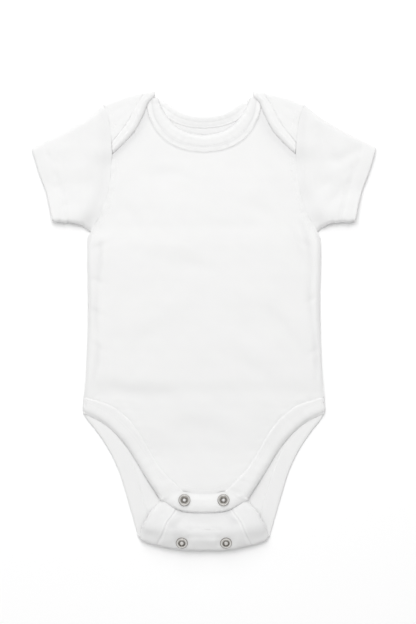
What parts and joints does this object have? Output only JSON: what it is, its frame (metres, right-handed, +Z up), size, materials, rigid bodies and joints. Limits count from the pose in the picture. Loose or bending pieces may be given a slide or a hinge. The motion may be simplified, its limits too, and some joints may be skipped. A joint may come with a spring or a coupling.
{
  "type": "baby bodysuit",
  "caption": "White short-sleeve baby bodysuit with envelope shoulders and a snapped crotch tab, lying flat, its crotch end folded up over the front.",
  "frame": {"origin": "under the middle of the laid-out garment, on the surface that it lies on", "axes": "+Y towards the neck, +Z up from the surface, +X towards the sleeve on the right as seen from above"},
  "size_m": [0.313, 0.4178, 0.0131],
  "materials": {
    "cloth": "white cotton interlock knit, matte, very fine ribs",
    "binding": "the same white knit, folded double over the cut edge and sewn with two rows of stitches",
    "snap_metal": "nickel-plated pressed metal, polished"
  },
  "bodies": {
    "root": {"back_panel": "cloth", "front_panel": "cloth", "sleeve_right": "cloth", "sleeve_left": "cloth", "front_tab": "cloth", "neck_binding_back": "binding", "neck_binding_front": "binding", "leg_binding_right": "binding", "leg_binding_left": "binding", "snap_ring_right": "snap_metal", "snap_stud_right": "snap_metal", "socket_under_tab_right": "snap_metal", "socket_spare_right": "snap_metal", "back_ring_under_tab_right": "snap_metal", "back_ring_spare_right": "snap_metal", "snap_ring_left": "snap_metal", "snap_stud_left": "snap_metal", "socket_under_tab_left": "snap_metal", "socket_spare_left": "snap_metal", "back_ring_under_tab_left": "snap_metal", "back_ring_spare_left": "snap_metal"}
  },
  "joints": []
}
